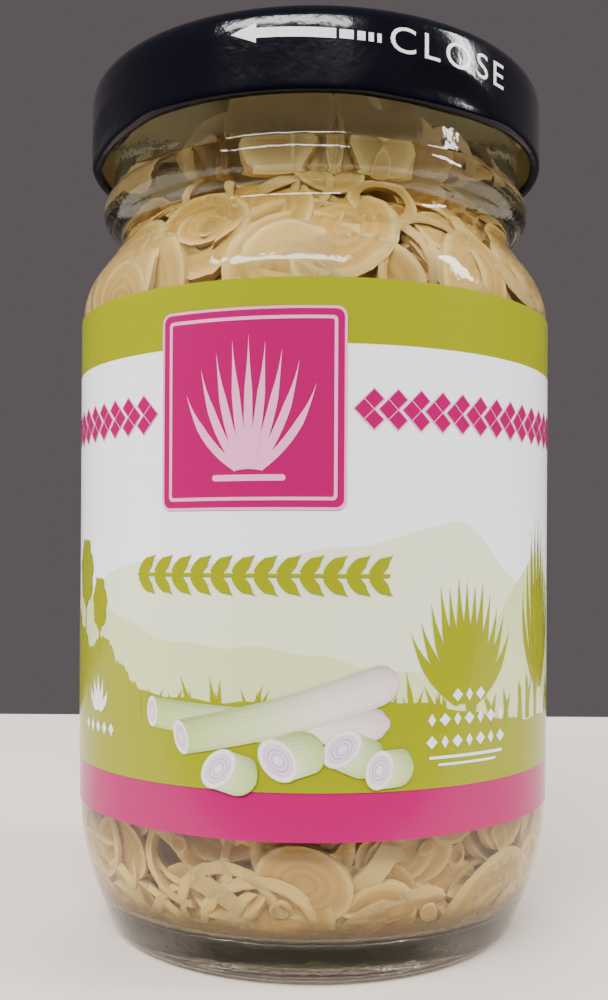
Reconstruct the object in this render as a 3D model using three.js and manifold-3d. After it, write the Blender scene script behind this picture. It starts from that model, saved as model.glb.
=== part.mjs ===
// A small glass jar of sliced lemongrass in brine, closed by a lacquered steel twist-off lid.
// Millimetres, +Z up. The origin is the centre of the base, on the surface that the jar stands on,
// and the front of the label faces -Y.
import * as THREE from "three";
import { mergeVertices } from "three/addons/utils/BufferGeometryUtils.js";
import Module from "manifold-3d";

// Driving dimensions.
const BODY_RADIUS = 31.4;
const GLASS_WALL = 2.4;
const NECK_RADIUS = 27.5;
const BORE_RADIUS = 24.5;
const RIM_TOP = 109.2;
const BORE_BOTTOM = 91.5;
const BODY_INNER_TOP = 79.5;
const BODY_INNER_BOTTOM = 17.5;
const FLOOR_TOP = 4.8;
const LABEL_BOTTOM = 17.6;
const LABEL_TOP = 79.7;
const LABEL_INNER_RADIUS = BODY_RADIUS + 0.05;
const LABEL_THICKNESS = 0.15;
const LABEL_SEAM = 4;
const LID_RADIUS = 30.4;
const LID_BOTTOM = 100.6;
const LID_TOP = 110.9;
const LID_SHEET = 0.5;

// The twist: four sloping ridges on the neck and four lugs under the lid.
const STARTS = 4;
const PITCH = 8.4;
const RIDGE_SECTION_RADIUS = 1.1;
const RIDGE_PATH_RADIUS = 27.65;
const RIDGE_LOW_Z = 103.55;
const RIDGE_END_SINK = 1.3;
const RIDGE_BEFORE_LUG = 10;
const RIDGE_SPAN = 66;
const LUG_HALF_ANGLE = 6.5;
const LUG_REACH = 27.95;
const LUG_BOTTOM = 100.9;
const LUG_HEIGHT = 1.5;
const FIRST_LUG_ANGLE = 29.5;

// The filling: slices stand out of one packed mass, clear of the glass.
const SLICE_CLEARANCE = 0.35;
const CORE_DEPTH = 1.5;
const FILL_TOP = 101.8;
const SLICE_SEED = 20260;
const SLICE_SIDES = 7;
const SLICE_LEAN = 26;
const TOP_SLICES = 7;
const TOP_SLICE_LEAN = 14;
const GOLDEN_ANGLE = 137.508;
const SLICE_BANDS = [
  { low: 7, high: 18, count: 24 },
  { low: 22, high: 76, count: 10 },
  { low: 79, high: 91, count: 20 },
  { low: 92, high: 97.6, count: 10 },
];

// How finely round things are cut.
const ROUND_STEPS = 40;
const CURVE_STEPS = 3;

const COLOURS = {
  glass: 0xdfe6d8,
  label: 0xf3f3ef,
  slices: 0xd9cba3,
  lid: 0x0b0d14,
  gasket: 0xd8d5cc,
};

const wasm = await Module();
wasm.setup();

const radians = THREE.MathUtils.degToRad;

/** A closed geometry as a solid that can be joined and cut. */
function toSolid(geometry) {
  const bare = geometry.clone();
  bare.deleteAttribute("normal");
  bare.deleteAttribute("uv");
  const merged = mergeVertices(bare, 1e-4);
  return new wasm.Manifold(
    new wasm.Mesh({
      numProp: 3,
      vertProperties: new Float32Array(merged.attributes.position.array),
      triVerts: new Uint32Array(merged.index.array),
    }),
  );
}

/** A joined or cut solid as a geometry again. */
function toGeometry(solid) {
  const mesh = solid.getMesh();
  const geometry = new THREE.BufferGeometry();
  geometry.setAttribute("position", new THREE.BufferAttribute(mesh.vertProperties, 3));
  geometry.setIndex(new THREE.BufferAttribute(mesh.triVerts, 1));
  geometry.computeVertexNormals();
  return geometry;
}

/** The largest body of a solid, without loose scraps and with its sealed hollows filled. */
function largestBody(solid) {
  return solid.decompose().reduce((a, b) => (b.volume() > a.volume() ? b : a));
}

/** A path in the (radius, height) plane turned round the Z axis. */
function turned(path, steps = ROUND_STEPS, curveSteps = CURVE_STEPS) {
  const lathe = new THREE.LatheGeometry(path.getPoints(curveSteps), steps);
  lathe.rotateX(Math.PI / 2);
  return lathe;
}

/** A geometry with its faces turned round, for a profile drawn from the top down. */
function reversed(geometry) {
  const order = geometry.index.array;
  for (let i = 0; i < order.length; i += 3) {
    [order[i], order[i + 1]] = [order[i + 1], order[i]];
  }
  return geometry;
}

/** The same numbers every time, so that the slices always fall alike. */
function seededRandom(seed) {
  let state = seed;
  return () => {
    state = (state * 1664525 + 1013904223) % 4294967296;
    return state / 4294967296;
  };
}

/** The outside of the glass, from the middle of the base up to the neck. */
function drawGlassOutside(path) {
  const heelRadius = 2.2;
  const heelCentre = 25.4;
  const heelEnd = radians(-23.5);
  path.moveTo(0, 1.5);
  path.lineTo(15, 1.3);
  path.quadraticCurveTo(20, 1.1, 21.8, 0);
  path.lineTo(heelCentre, 0);
  path.absarc(heelCentre, heelRadius, heelRadius, radians(-90), heelEnd, false);
  path.quadraticCurveTo(BODY_RADIUS, 10.5, BODY_RADIUS, 16.5);
  path.lineTo(BODY_RADIUS, 80);
  path.quadraticCurveTo(BODY_RADIUS, 83.7, 28.6, 87);
  path.lineTo(27.2, 88.95);
  path.quadraticCurveTo(26.3, 90, 26.3, 91);
  path.quadraticCurveTo(26.3, 92.05, 27.55, 92.7);
  path.absarc(26.35, 94.8, 2.45, radians(-58), radians(60), false);
  path.lineTo(NECK_RADIUS, 97.4);
}

/** The inside of the glass, from the bore at the neck down to the middle of the floor. */
function drawGlassInside(path, inset) {
  const bore = BORE_RADIUS - inset;
  const wall = BODY_RADIUS - GLASS_WALL - inset;
  path.lineTo(bore, BORE_BOTTOM);
  path.quadraticCurveTo(bore, 89.6, 26.3 - inset, 87.2);
  path.quadraticCurveTo(wall, 83.6, wall, BODY_INNER_TOP);
  path.lineTo(wall, BODY_INNER_BOTTOM);
  path.quadraticCurveTo(wall, 11, 27.2 - inset, 7.4 + inset);
  path.quadraticCurveTo(25.6 - inset, 4.6 + inset, 21 - inset, FLOOR_TOP + inset);
  path.lineTo(0, FLOOR_TOP + 0.6 + inset);
}

/** One sloping ridge, sunk into the neck at both ends. */
function neckRidge(firstAngle) {
  const points = [];
  const steps = 11;
  const plainShare = 0.75;
  for (let i = 0; i <= steps; i += 1) {
    const share = i / steps;
    const turn = share * RIDGE_SPAN;
    const fade = Math.max(0, Math.abs(2 * share - 1) - plainShare) / (1 - plainShare);
    const radius = RIDGE_PATH_RADIUS - RIDGE_END_SINK * fade;
    const angle = radians(firstAngle + turn);
    points.push(
      new THREE.Vector3(
        radius * Math.cos(angle),
        radius * Math.sin(angle),
        RIDGE_LOW_Z + (PITCH * turn) / 360,
      ),
    );
  }
  const section = new THREE.Shape();
  section.absarc(0, 0, RIDGE_SECTION_RADIUS, 0, 2 * Math.PI, false);
  return new THREE.ExtrudeGeometry(section, {
    extrudePath: new THREE.CatmullRomCurve3(points),
    steps: 12,
    curveSegments: 4,
  });
}

/** The glass jar: one wall from the pushed-up base to the rim, with the ridges on its neck. */
function jarGeometry() {
  const path = new THREE.Path();
  drawGlassOutside(path);
  path.lineTo(NECK_RADIUS, RIM_TOP - 1.3);
  path.absarc(NECK_RADIUS - 1.3, RIM_TOP - 1.3, 1.3, 0, radians(90), false);
  path.lineTo(BORE_RADIUS + 1.1, RIM_TOP);
  path.absarc(BORE_RADIUS + 1.1, RIM_TOP - 1.1, 1.1, radians(90), radians(180), false);
  drawGlassInside(path, 0);
  let jar = toSolid(turned(path));
  for (let i = 0; i < STARTS; i += 1) {
    const lugAngle = FIRST_LUG_ANGLE + (360 / STARTS) * i;
    jar = jar.add(toSolid(neckRidge(lugAngle - RIDGE_BEFORE_LUG)));
  }
  return toGeometry(jar);
}

/** The printed film round the body, with the gap at the back where its ends nearly meet. */
function labelGeometry() {
  const outer = LABEL_INNER_RADIUS + LABEL_THICKNESS;
  const path = new THREE.Path();
  path.moveTo(LABEL_INNER_RADIUS, LABEL_BOTTOM);
  path.lineTo(outer, LABEL_BOTTOM);
  path.lineTo(outer, LABEL_TOP);
  path.lineTo(LABEL_INNER_RADIUS, LABEL_TOP);
  path.lineTo(LABEL_INNER_RADIUS, LABEL_BOTTOM);
  const seam = new THREE.BoxGeometry(LABEL_SEAM, 10, 2 * LABEL_TOP);
  seam.translate(0, BODY_RADIUS, LABEL_TOP);
  return toGeometry(toSolid(turned(path)).subtract(toSolid(seam)));
}

/** One of the tabs that the lid's edge is pressed into, which hook under the ridges. */
function lidLug(angle) {
  const outer = LID_RADIUS - LID_SHEET - 0.3;
  const half = radians(LUG_HALF_ANGLE);
  const tab = new THREE.Shape();
  tab.absarc(0, 0, outer, -half, half, false);
  tab.absarc(0, 0, LUG_REACH, half, -half, true);
  const lug = new THREE.ExtrudeGeometry(tab, {
    depth: LUG_HEIGHT,
    bevelEnabled: false,
    curveSegments: 3,
  });
  lug.rotateZ(radians(angle));
  lug.translate(0, 0, LUG_BOTTOM);
  return lug;
}

/** The lid: a button in a sunk panel, a raised land, a plain skirt and a curled edge. */
function lidGeometry() {
  const shoulder = 2.2;
  const shoulderCentre = LID_RADIUS - shoulder;
  const curl = 0.65;
  const curlCentre = LID_RADIUS - curl;
  const panelRadius = 22.8;
  const buttonRadius = 9.2;
  const step = 1;
  const panelTop = LID_TOP - 0.7;
  const buttonTop = panelTop - 0.35;
  const dishTop = buttonTop - 0.3;
  const path = new THREE.Path();
  path.moveTo(0, dishTop - LID_SHEET);
  path.lineTo(buttonRadius + 0.4, buttonTop - LID_SHEET);
  path.lineTo(buttonRadius + 0.4 + 2 * step, panelTop - LID_SHEET);
  path.lineTo(panelRadius + 0.4, panelTop - LID_SHEET);
  path.lineTo(panelRadius + 0.4 + step, LID_TOP - LID_SHEET);
  path.lineTo(shoulderCentre, LID_TOP - LID_SHEET);
  path.absarc(
    shoulderCentre, LID_TOP - shoulder, shoulder - LID_SHEET, radians(90), 0, true);
  path.lineTo(LID_RADIUS - LID_SHEET, LID_BOTTOM + 2 * curl);
  path.absarc(curlCentre, LID_BOTTOM + curl, curl, radians(120), radians(360), false);
  path.absarc(shoulderCentre, LID_TOP - shoulder, shoulder, 0, radians(90), false);
  path.lineTo(panelRadius + step, LID_TOP);
  path.lineTo(panelRadius, panelTop);
  path.lineTo(buttonRadius + 2 * step, panelTop);
  path.lineTo(buttonRadius, buttonTop);
  path.lineTo(0, dishTop);
  let lid = toSolid(turned(path));
  for (let i = 0; i < STARTS; i += 1) {
    lid = lid.add(toSolid(lidLug(FIRST_LUG_ANGLE + (360 / STARTS) * i)));
  }
  return toGeometry(lid);
}

/** The ring of soft compound in the lid's channel, just clear of the rim of the glass. */
function gasketGeometry() {
  const inner = 24.8;
  const outer = 27.9;
  const low = RIM_TOP + 0.12;
  const high = LID_TOP - LID_SHEET - 0.1;
  const chamfer = 0.3;
  const path = new THREE.Path();
  path.moveTo(inner, low + chamfer);
  path.lineTo(inner + 2 * chamfer, low);
  path.lineTo(outer - 2 * chamfer, low);
  path.lineTo(outer, low + chamfer);
  path.lineTo(outer, high);
  path.lineTo(inner, high);
  path.lineTo(inner, low + chamfer);
  return turned(path);
}

/** A flat slice: a disc, or a ring if it has a hole, with its axis along Z. */
function sliceGeometry(radius, hole, thickness) {
  const path = new THREE.Path();
  path.moveTo(hole, -thickness / 2);
  path.lineTo(radius, -thickness / 2);
  path.lineTo(radius * 0.97, thickness / 2);
  path.lineTo(hole, thickness / 2);
  if (hole > 0) {
    path.lineTo(hole, -thickness / 2);
  }
  return turned(path, SLICE_SIDES);
}

/** The radius of the clear space inside the glass at a height. */
function spaceRadius(z) {
  const bore = BORE_RADIUS - SLICE_CLEARANCE;
  const wall = BODY_RADIUS - GLASS_WALL - SLICE_CLEARANCE;
  if (z > BODY_INNER_TOP) {
    const share = Math.min(1, (z - BODY_INNER_TOP) / (BORE_BOTTOM - BODY_INNER_TOP));
    return THREE.MathUtils.lerp(wall, bore, share ** 1.6);
  }
  const drop = Math.max(0, BODY_INNER_BOTTOM - z) / (BODY_INNER_BOTTOM - FLOOR_TOP);
  return wall - 5.2 * drop ** 2.2;
}

/** The mass of packed slices, with those that press against the glass standing out of it. */
function slicesGeometry() {
  const random = seededRandom(SLICE_SEED);
  const between = (low, high) => low + (high - low) * random();
  const space = new THREE.Path();
  space.moveTo(0, RIM_TOP);
  space.lineTo(BORE_RADIUS - SLICE_CLEARANCE, RIM_TOP);
  drawGlassInside(space, SLICE_CLEARANCE);
  const core = new THREE.Path();
  core.moveTo(0, FILL_TOP);
  core.lineTo(BORE_RADIUS - 2 * CORE_DEPTH, FILL_TOP);
  drawGlassInside(core, CORE_DEPTH);
  let mass = toSolid(reversed(turned(core, 18, 2)));
  for (const band of SLICE_BANDS) {
    for (let i = 0; i < band.count; i += 1) {
      const z = between(band.low, band.high);
      const radius = between(3.2, 6.2);
      const hole = random() < 0.5 ? radius * between(0.45, 0.72) : 0;
      const slice = sliceGeometry(radius, hole, between(1.4, 1.9));
      slice.scale(1, between(0.7, 1), 1);
      slice.rotateZ(between(0, Math.PI));
      slice.rotateY(radians(90 + between(-SLICE_LEAN, SLICE_LEAN)));
      slice.rotateX(radians(between(-SLICE_LEAN, SLICE_LEAN)));
      slice.translate(spaceRadius(z) - between(0.9, 1.7), 0, 0);
      slice.rotateZ(radians(i * GOLDEN_ANGLE + between(-9, 9)));
      slice.translate(0, 0, z);
      mass = mass.add(toSolid(slice));
    }
  }
  for (let i = 0; i < TOP_SLICES; i += 1) {
    const slice = sliceGeometry(between(4, 6.5), i % 2 ? between(2, 3.4) : 0, 1.4);
    slice.rotateX(radians(between(-TOP_SLICE_LEAN, TOP_SLICE_LEAN)));
    slice.rotateY(radians(between(-TOP_SLICE_LEAN, TOP_SLICE_LEAN)));
    slice.translate(21 * Math.sqrt(random()), 0, 0);
    slice.rotateZ(radians(i * GOLDEN_ANGLE));
    slice.translate(0, 0, FILL_TOP);
    mass = mass.add(toSolid(slice));
  }
  const clear = toSolid(reversed(turned(space, ROUND_STEPS, 2)));
  return toGeometry(largestBody(mass.intersect(clear)));
}

/** A named mesh in its own material. */
function piece(name, geometry, colour, finish) {
  const mesh = new THREE.Mesh(
    geometry,
    new THREE.MeshStandardMaterial({ color: colour, ...finish }),
  );
  mesh.name = name;
  return mesh;
}

const object = new THREE.Group();
object.add(
  piece("jar", jarGeometry(), COLOURS.glass, {
    roughness: 0.05, metalness: 0, transparent: true, opacity: 0.35 }),
  piece("label", labelGeometry(), COLOURS.label, { roughness: 0.25, metalness: 0 }),
  piece("lemongrass_slices", slicesGeometry(), COLOURS.slices, { roughness: 0.5, metalness: 0 }),
);
const lid = new THREE.Group();
lid.add(
  piece("lid_shell", lidGeometry(), COLOURS.lid, { roughness: 0.12, metalness: 0.3 }),
  piece("lid_gasket", gasketGeometry(), COLOURS.gasket, { roughness: 0.7, metalness: 0 }),
);
object.add(lid);

export default object;
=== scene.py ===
import math
import random

import bpy
from mathutils import Matrix, Vector


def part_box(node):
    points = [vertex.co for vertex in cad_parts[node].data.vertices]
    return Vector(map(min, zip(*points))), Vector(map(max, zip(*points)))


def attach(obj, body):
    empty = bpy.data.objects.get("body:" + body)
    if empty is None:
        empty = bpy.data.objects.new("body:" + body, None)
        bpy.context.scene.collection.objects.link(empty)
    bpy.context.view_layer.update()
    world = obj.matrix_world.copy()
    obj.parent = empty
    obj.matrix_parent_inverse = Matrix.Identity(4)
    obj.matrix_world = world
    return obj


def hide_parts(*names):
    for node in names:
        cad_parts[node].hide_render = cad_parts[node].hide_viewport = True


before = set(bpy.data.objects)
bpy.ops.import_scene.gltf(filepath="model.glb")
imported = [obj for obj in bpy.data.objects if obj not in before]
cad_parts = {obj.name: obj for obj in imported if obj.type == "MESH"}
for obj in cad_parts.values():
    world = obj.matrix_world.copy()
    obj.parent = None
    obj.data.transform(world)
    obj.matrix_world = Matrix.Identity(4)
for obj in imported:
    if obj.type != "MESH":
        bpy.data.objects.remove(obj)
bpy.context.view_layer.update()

MM = 0.001


# The jar is one piece of clear soda-lime glass, blown into a two-part mould, so a fine seam runs up
# two sides of it. Its pushed-up base has painted shade in its colour, tan all round and darkest before
# and behind, and the lid's lugs hook under the four sloping ridges on its neck.

BODY_RADIUS = 31.4
GLASS_WALL = 2.4
NECK_RADIUS = 27.5
BORE_RADIUS = 24.5
RIM_TOP = 109.2
LABEL_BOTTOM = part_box("label")[0][2] / MM
LABEL_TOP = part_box("label")[1][2] / MM
FILL_TOP = 101.8
ROUND_STEPS = 144
FIRST_LUG = 29.5
STARTS = 4
RIDGES_FROM = 100.9
RIDGES_TO = 107.0
SEAM_AZIMUTH = 248.0
SEAM_RISE = 0.1


def pick(*pieces):
    """Select these pieces alone, the first of them active."""
    bpy.ops.object.select_all(action="DESELECT")
    for piece in pieces:
        piece.select_set(True)
    bpy.context.view_layer.objects.active = pieces[0]


def arc(centre, radius, start, end, steps):
    """Points of (radius, height) round a corner, from one angle in degrees to another."""
    turns = [math.radians(start + (end - start) * i / steps) for i in range(steps + 1)]
    return [(centre[0] + radius * math.cos(t), centre[1] + radius * math.sin(t)) for t in turns]


def sweep(start, pull, end, steps):
    """Points of a smooth curve from start to end, drawn towards pull."""
    points = []
    for i in range(steps + 1):
        t = i / steps
        points.append(tuple(
            (1 - t) ** 2 * a + 2 * t * (1 - t) * b + t ** 2 * c
            for a, b, c in zip(start, pull, end)
        ))
    return points


def level(radius, low, high, step):
    """Points up a straight wall, close enough together to be shaped afterwards."""
    count = max(1, round(abs(high - low) / step))
    return [(radius, low + (high - low) * i / count) for i in range(count + 1)]


def started(name):
    """Name the primitive that was just added."""
    bpy.context.object.name = name
    return bpy.context.object


def turned(name, outline, steps=ROUND_STEPS):
    """An outline of (radius, height) points, drawn point by point and spun round the jar's axis."""
    bpy.ops.object.select_all(action="DESELECT")
    bpy.ops.mesh.primitive_plane_add(size=1, location=(0, 0, 0))
    piece = started(name)
    bpy.ops.object.mode_set(mode="EDIT")
    bpy.ops.mesh.select_mode(type="VERT")
    bpy.ops.mesh.merge(type="CENTER")
    bpy.ops.transform.translate(value=(outline[0][0] * MM, 0, outline[0][1] * MM))
    for (r0, z0), (r1, z1) in zip(outline, outline[1:]):
        if abs(r1 - r0) + abs(z1 - z0) < 1e-6:
            continue
        bpy.ops.mesh.extrude_vertices_move(
            TRANSFORM_OT_translate={"value": ((r1 - r0) * MM, 0, (z1 - z0) * MM)})
    bpy.ops.mesh.select_all(action="SELECT")
    bpy.ops.mesh.spin(steps=steps, angle=2 * math.pi, center=(0, 0, 0), axis=(0, 0, 1))
    bpy.ops.mesh.select_all(action="SELECT")
    bpy.ops.mesh.remove_doubles(threshold=1e-6)
    bpy.ops.mesh.normals_make_consistent(inside=False)
    bpy.ops.object.mode_set(mode="OBJECT")
    return piece


def smooth(piece, degrees=35):
    pick(piece)
    bpy.ops.object.shade_smooth_by_angle(angle=math.radians(degrees))


def material(name):
    """A new material, with its nodes and its shader."""
    made = bpy.data.materials.new(name)
    made.use_nodes = True
    return made, made.node_tree.nodes, made.node_tree.nodes["Principled BSDF"]


def set_inputs(node, **values):
    """Set inputs that are the same all over the piece, with _ for each space in their names."""
    for name, value in values.items():
        node.inputs[name.replace("_", " ")].default_value = value


def feed(socket, value):
    """Set an input to a value, or join it to the output of another node."""
    if isinstance(value, bpy.types.NodeSocket):
        socket.id_data.links.new(value, socket)
    else:
        socket.default_value = value


def noise(nodes, spot, scale, detail=2.0):
    """Soft random spots, from 0 to 1, over the piece."""
    made = nodes.new("ShaderNodeTexNoise")
    for name, value in (("Vector", spot), ("Scale", scale), ("Detail", detail)):
        feed(made.inputs[name], value)
    return made.outputs["Fac"]


def bumped(nodes, height, strength, distance, over=None):
    """A surface that rises and falls with a height, on its own or over another such surface."""
    made = nodes.new("ShaderNodeBump")
    for name, value in (("Height", height), ("Strength", strength), ("Distance", distance)):
        feed(made.inputs[name], value)
    if over:
        feed(made.inputs["Normal"], over)
    return made.outputs["Normal"]


def ranged(nodes, value, start, end, low=0.0, high=1.0):
    """Carry a value between start and end over to the range from low to high."""
    made = nodes.new("ShaderNodeMapRange")
    for name, given in (("Value", value), ("From Min", start), ("From Max", end),
                        ("To Min", low), ("To Max", high)):
        feed(made.inputs[name], given)
    return made.outputs["Result"]


def maths(nodes, operation, *values):
    """Work out one value from others."""
    made = nodes.new("ShaderNodeMath")
    made.operation = operation
    for socket, value in zip(made.inputs, values):
        feed(socket, value)
    return made.outputs[0]


def ramp(nodes, value, stops):
    """Turn a value into a colour by stops of (place, colour), the lowest first."""
    made = nodes.new("ShaderNodeValToRGB")
    marks = made.color_ramp.elements
    marks[0].position, marks[1].position = stops[0][0], stops[-1][0]
    marks[0].color, marks[1].color = (*stops[0][1], 1), (*stops[-1][1], 1)
    for position, colour in stops[1:-1]:
        marks.new(position).color = (*colour, 1)
    feed(made.inputs["Fac"], value)
    return made.outputs["Color"]


def blended(nodes, share, first, second, way="MIX"):
    """Blend two colours by a share."""
    made = nodes.new("ShaderNodeMix")
    made.data_type = "RGBA"
    made.blend_type = way
    for index, value in ((0, share), (6, first), (7, second)):
        feed(made.inputs[index], value)
    return made.outputs[2]


def spot_on(nodes):
    """The piece's own coordinates."""
    return nodes.new("ShaderNodeTexCoord").outputs["Object"]


def one_axis(nodes, name):
    """One of the piece's own coordinates: X, Y or Z."""
    made = nodes.new("ShaderNodeSeparateXYZ")
    feed(made.inputs["Vector"], spot_on(nodes))
    return made.outputs[name]


def finish_with(piece, made, body):
    """Give the piece its material and its body."""
    piece.data.materials.clear()
    piece.data.materials.append(made)
    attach(piece, body)


glass_outside = (
    [(0, 1.5), (8, 1.42), (15, 1.3)]
    + sweep((15, 1.3), (20, 1.1), (21.8, 0), 6)
    + [(23.6, 0)]
    + arc((25.4, 2.2), 2.2, -90, -23.5, 7)
    + sweep((27.42, 1.32), (BODY_RADIUS, 10.5), (BODY_RADIUS, 16.5), 14)
    + level(BODY_RADIUS, 16.5, 80, 8)
    + sweep((BODY_RADIUS, 80), (BODY_RADIUS, 83.7), (28.6, 87), 10)
    + [(27.2, 88.95)]
    + sweep((27.2, 88.95), (26.3, 90), (26.3, 91), 5)
    + sweep((26.3, 91), (26.3, 92.05), (27.55, 92.7), 5)
    + arc((26.35, 94.8), 2.45, -58, 60, 12)
    + sweep((27.57, 96.92), (NECK_RADIUS, 97.1), (NECK_RADIUS, 97.5), 3)
    + level(NECK_RADIUS, 97.5, 101, 1)
    + level(NECK_RADIUS, 101, 106.6, 0.28)
    + level(NECK_RADIUS, 106.6, RIM_TOP - 1.3, 1)
    + arc((NECK_RADIUS - 1.3, RIM_TOP - 1.3), 1.3, 0, 90, 6)
)
glass_inside = (
    arc((BORE_RADIUS + 1.1, RIM_TOP - 1.1), 1.1, 90, 180, 6)
    + level(BORE_RADIUS, RIM_TOP - 1.1, 91.5, 2.5)
    + sweep((BORE_RADIUS, 91.5), (BORE_RADIUS, 89.6), (26.3, 87.2), 6)
    + sweep((26.3, 87.2), (BODY_RADIUS - GLASS_WALL, 83.6), (BODY_RADIUS - GLASS_WALL, 79.5), 7)
    + level(BODY_RADIUS - GLASS_WALL, 79.5, 17.5, 8)
    + sweep((BODY_RADIUS - GLASS_WALL, 17.5), (BODY_RADIUS - GLASS_WALL, 11), (27.2, 7.4), 9)
    + sweep((27.2, 7.4), (25.6, 4.6), (21, 4.8), 8)
    + [(10, 5.2), (0, 5.4)]
)


def ridge_reach(azimuth, height):
    """How far out the neck's surface lies, in millimetres, where one of the ridges crosses it."""
    before_lug, span, pitch = 10.0, 66.0, 8.4
    low, path_radius, section, end_sink = 103.55, 27.65, 1.1, 1.3
    turn = (azimuth - FIRST_LUG + before_lug) % (360 / STARTS)
    if turn > span:
        return NECK_RADIUS
    off = height - low - pitch * turn / 360
    if abs(off) >= section:
        return NECK_RADIUS
    fade = max(0.0, abs(2 * turn / span - 1) - 0.75) / 0.25
    return max(NECK_RADIUS, path_radius + math.sqrt(section ** 2 - off ** 2) - end_sink * fade)


def polar(v):
    """How far out a point lies, how far round in degrees, and how high, in millimetres."""
    azimuth = math.degrees(math.atan2(v.co.y, v.co.x))
    return math.hypot(v.co.x, v.co.y) / MM, azimuth, v.co.z / MM


def draw_out(v, times):
    """Move a point straight away from the jar's axis, or towards it, by a factor."""
    v.co.x *= times
    v.co.y *= times


glass = turned("glass_jar", glass_outside + glass_inside)
pick(glass)
bpy.ops.object.mode_set(mode="EDIT")
bpy.ops.mesh.select_all(action="SELECT")
for side in (-0.35, 0.0, 0.35):
    across = math.radians(SEAM_AZIMUTH + side + 90)
    bpy.ops.mesh.select_all(action="SELECT")
    bpy.ops.mesh.bisect(plane_co=(0, 0, 0), plane_no=(math.cos(across), math.sin(across), 0))
bpy.ops.object.mode_set(mode="OBJECT")
seam_line = Vector((math.cos(math.radians(SEAM_AZIMUTH)), math.sin(math.radians(SEAM_AZIMUTH)), 0))
for v in glass.data.vertices:
    radius, azimuth, height = polar(v)
    if RIDGES_FROM < height < RIDGES_TO and abs(radius - NECK_RADIUS) < 0.01:
        draw_out(v, ridge_reach(azimuth, height) / radius)
    outside = radius > 26 and not LABEL_BOTTOM - 1 < height < LABEL_TOP + 1
    flat = Vector((v.co.x, v.co.y, 0))
    if outside and 8 < height < 100 and flat.cross(seam_line).length < 0.02 * MM and radius > 26.4:
        v.co += flat.normalized() * SEAM_RISE * MM


def clear_glass(name, ior):
    """Glass that bends what is seen through it and lets lamps shine on what is inside."""
    made, nodes, shader = material(name)
    set_inputs(shader, Roughness=0.0, IOR=ior, Transmission_Weight=1.0)
    spot = spot_on(nodes)
    z = one_axis(nodes, "Z")
    rise = ranged(nodes, z, 0, RIM_TOP * MM)
    # Painted shade: the foot is tinted tan and dark; higher up the glass is pale olive, darker at the
    # waist.
    tint = ramp(nodes, rise, (
        (0.0, (0.50, 0.41, 0.27)), (0.017, (0.54, 0.46, 0.31)), (0.026, (0.66, 0.62, 0.48)),
        (0.045, (0.66, 0.62, 0.48)), (0.065, (0.85, 0.83, 0.64)), (0.150, (0.90, 0.89, 0.76)),
        (0.77, (0.93, 0.93, 0.86)), (0.83, (0.66, 0.66, 0.50)), (0.88, (0.72, 0.73, 0.57)),
        (0.93, (0.86, 0.87, 0.74)), (1.0, (0.86, 0.87, 0.74))))
    black, white = (0, 0, 0), (1, 1, 1)
    # Painted shade: the foot is darkened more before and behind, and its reflection is dimmed there.
    base_band = ramp(nodes, rise, (
        (0.0, black), (0.019, black), (0.023, white), (0.045, white), (0.053, black), (1.0, black)))
    azimuth = maths(nodes, "ARCTAN2", one_axis(nodes, "Y"), one_axis(nodes, "X"))
    sideways = maths(nodes, "COSINE", maths(nodes, "MULTIPLY", azimuth, 2.0))
    lens = ranged(nodes, sideways, -0.70, -0.26, 1.0, 0.0)
    painted_foot_shade = maths(nodes, "MULTIPLY", base_band, lens)
    feed(shader.inputs["Base Color"], blended(nodes, painted_foot_shade, tint, (0.053, 0.057, 0.030, 1)))
    feed(shader.inputs["Specular Tint"], blended(nodes, painted_foot_shade, (1, 1, 1, 1), (0.26, 0.27, 0.19, 1)))
    swell = bumped(nodes, noise(nodes, spot, 55, 1.5), 0.3, 0.0006)
    feed(shader.inputs["Normal"], bumped(nodes, noise(nodes, spot, 700), 0.5, 0.00011, swell))
    clear = nodes.new("ShaderNodeBsdfTransparent")
    set_inputs(clear, Color=(0.95, 0.96, 0.93, 1))
    path = nodes.new("ShaderNodeLightPath")
    unseen = maths(nodes, "MAXIMUM", path.outputs["Is Shadow Ray"], path.outputs["Is Diffuse Ray"])
    lets_through = ranged(nodes, z, 0.002, 0.012, 0.05)
    mix = nodes.new("ShaderNodeMixShader")
    feed(mix.inputs["Fac"], maths(nodes, "MULTIPLY", unseen, lets_through))
    feed(mix.inputs[1], shader.outputs["BSDF"])
    feed(mix.inputs[2], clear.outputs["BSDF"])
    feed(nodes["Material Output"].inputs["Surface"], mix.outputs["Shader"])
    return made


def outward(face):
    """Over nought where a face looks away from the jar's axis, and under nought where it looks in."""
    return face.normal.x * face.center.x + face.normal.y * face.center.y


dry_glass = clear_glass("clear jar glass", 1.5)
wet_glass = clear_glass("glass against brine", 1.13)
smooth(glass, 40)
finish_with(glass, dry_glass, "jar")
glass.data.materials.append(wet_glass)
for face in glass.data.polygons:
    height = face.center.z / MM
    wall = outward(face) < 0 and 5 < height < FILL_TOP + 1
    inner_base = face.normal.z > 0.6 and 4.5 < height < 8
    if wall or inner_base:
        face.material_index = 1
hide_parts("jar")


# The filling is lemongrass stalk cut across into thin slices: solid discs with the layers of the
# stalk in them, loose rings that have slipped out of discs, split rings and short cores. They are
# packed in brine, pressed flat against the glass at the sides and tumbled in between.

INSIDE = sorted((z, r) for r, z in glass_inside)


def wall_radius(height):
    """The inside radius of the glass at a height, in millimetres."""
    previous = INSIDE[0]
    for z, r in INSIDE:
        if z >= height and z > previous[0]:
            share = (height - previous[0]) / (z - previous[0])
            return previous[1] + (r - previous[1]) * max(0.0, min(1.0, share))
        if z < height or r > previous[1]:
            previous = (z, r)
    return BORE_RADIUS


def wall_lean(height):
    """How far the wall leans in, in degrees, at a height."""
    rise = 0.8
    return math.degrees(math.atan2(wall_radius(height - rise) - wall_radius(height + rise), 2 * rise))


def stored(piece, name):
    """Room for one value for each point of a piece, which its material reads by this name."""
    return piece.data.attributes.new(name, "FLOAT", "POINT")


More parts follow.
